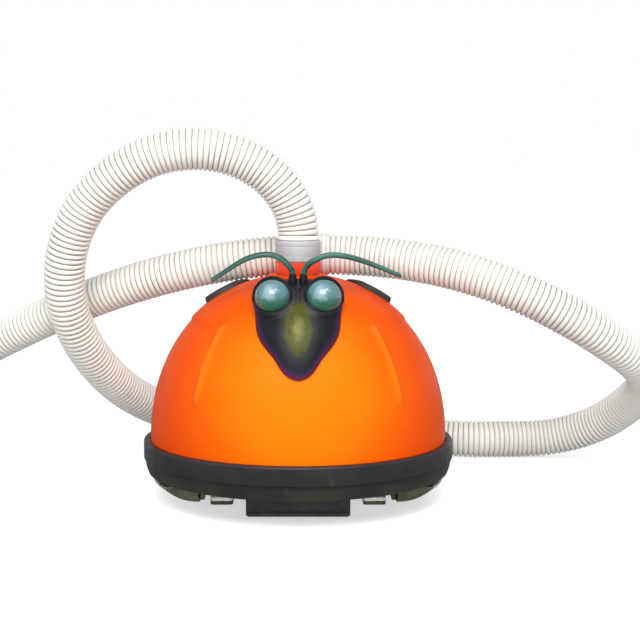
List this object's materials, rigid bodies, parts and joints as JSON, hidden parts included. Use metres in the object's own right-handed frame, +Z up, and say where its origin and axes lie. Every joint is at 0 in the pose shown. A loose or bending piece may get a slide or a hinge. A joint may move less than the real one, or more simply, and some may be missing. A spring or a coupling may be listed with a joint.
{
  "type": "pool cleaner",
  "caption": "Insect-shaped suction pool cleaner: domed shell, bumper, rocking feet, turbine drive, swivelling neck and a long ribbed hose ending in a tapered fitting.",
  "frame": {"origin": "on the floor under the middle of the cleaner, at the height of the shoe soles", "axes": "+X to the cleaner's right across its width, +Y to its rear (the face looks along -Y), +Z up"},
  "size_m": [1.4332, 0.6778, 0.428],
  "materials": {
    "shell_orange": "glossy moulded orange",
    "neck_orange": "satin orange-red",
    "bumper_rubber": "soft satin black",
    "shoe_rubber": "matt dark olive rubber",
    "head_black": "glossy near-black",
    "pad_black": "matt black rubber",
    "chassis_plastic": "moulded dark grey",
    "wing_plastic": "moulded dark olive",
    "pod_plastic": "moulded off-white",
    "collar_grey": "satin light grey",
    "hose_cream": "ribbed cream-white",
    "gear_white": "natural acetal",
    "antenna_teal": "flexible teal",
    "eye_pearl": "pearly teal, polished",
    "float_foam": "closed-cell foam",
    "stainless_steel": "bright"
  },
  "bodies": {
    "chassis": {"top_shell": "shell_orange", "bumper_ring": "bumper_rubber", "base_pan": "chassis_plastic", "front_float": "float_foam", "rear_float": "float_foam", "turbine_housing": "chassis_plastic", "shaft_bush_left": "gear_white", "shaft_bush_right": "gear_white", "steering_gearbox": "chassis_plastic", "turret_bush": "gear_white", "hose_cuff": "hose_cream", "front_flap_pin": "stainless_steel", "rear_flap_pin": "stainless_steel", "head_mask": "head_black", "hose_section_1": "hose_cream", "hose_section_2": "hose_cream", "hose_section_3": "hose_cream", "hose_joint_1": "hose_cream", "hose_joint_2": "hose_cream", "hose_coil": "hose_cream", "hose_tail": "hose_cream", "suction_cone": "collar_grey", "shell_screw_1": "stainless_steel", "shell_screw_2": "stainless_steel", "shell_screw_3": "stainless_steel", "shell_screw_4": "stainless_steel", "foot_pin_left": "stainless_steel", "wing_pin_left": "stainless_steel", "eye_left": "eye_pearl", "antenna_left": "antenna_teal", "shell_pad_left": "pad_black", "foot_pin_right": "stainless_steel", "wing_pin_right": "stainless_steel", "eye_right": "eye_pearl", "antenna_right": "antenna_teal", "shell_pad_right": "pad_black"},
    "turbine": {"turbine_shaft": "stainless_steel", "turbine_rotor": "chassis_plastic", "drive_pinion": "gear_white", "eccentric_left": "gear_white", "eccentric_right": "gear_white"},
    "turret": {"turret_neck": "neck_orange", "turret_gear": "gear_white"},
    "swivel": {"swivel_collar": "collar_grey"},
    "foot_left": {"rocker_frame_left": "chassis_plastic", "pod_left": "pod_plastic", "shoe_left": "shoe_rubber"},
    "foot_right": {"rocker_frame_right": "chassis_plastic", "pod_right": "pod_plastic", "shoe_right": "shoe_rubber"},
    "flap_front": {"front_flap": "bumper_rubber"},
    "flap_rear": {"rear_flap": "bumper_rubber"},
    "left_wing": {"wing_left": "wing_plastic"},
    "right_wing": {"wing_right": "wing_plastic"}
  },
  "joints": [
    {"name": "turbine_spin", "type": "hinge", "parent": "chassis", "child": "turbine", "pos_m": [0, 0, 0.085], "axis": [1, 0, 0], "continuous": true},
    {"name": "turret_turn", "type": "hinge", "parent": "chassis", "child": "turret", "pos_m": [0, 0, 0.198], "axis": [0, 0, 1], "continuous": true},
    {"name": "hose_swivel", "type": "hinge", "parent": "turret", "child": "swivel", "pos_m": [0, 0, 0.2762], "axis": [0, 0, 1], "continuous": true},
    {"name": "foot_left_rock", "type": "hinge", "parent": "chassis", "child": "foot_left", "pos_m": [-0.0875, 0, 0.03], "axis": [1, 0, 0], "range_deg": [-3.9, 3.9]},
    {"name": "foot_right_rock", "type": "hinge", "parent": "chassis", "child": "foot_right", "pos_m": [0.0875, 0, 0.03], "axis": [1, 0, 0], "range_deg": [-3.9, 3.9]},
    {"name": "front_flap_swing", "type": "hinge", "parent": "chassis", "child": "flap_front", "pos_m": [0, -0.105, 0.0295], "axis": [1, 0, 0], "range_deg": [-10, 55]},
    {"name": "rear_flap_swing", "type": "hinge", "parent": "chassis", "child": "flap_rear", "pos_m": [0, 0.105, 0.0295], "axis": [1, 0, 0], "range_deg": [-55, 10]},
    {"name": "left_wing_lift", "type": "hinge", "parent": "chassis", "child": "left_wing", "pos_m": [-0.1085, 0, 0.031], "axis": [0, 1, 0], "range_deg": [0, 15]},
    {"name": "right_wing_lift", "type": "hinge", "parent": "chassis", "child": "right_wing", "pos_m": [0.1085, 0, 0.031], "axis": [0, 1, 0], "range_deg": [-15, 0]}
  ],
  "couplings": [
    {"joint": "foot_right_rock", "follows": "foot_left_rock", "ratio": -1}
  ]
}
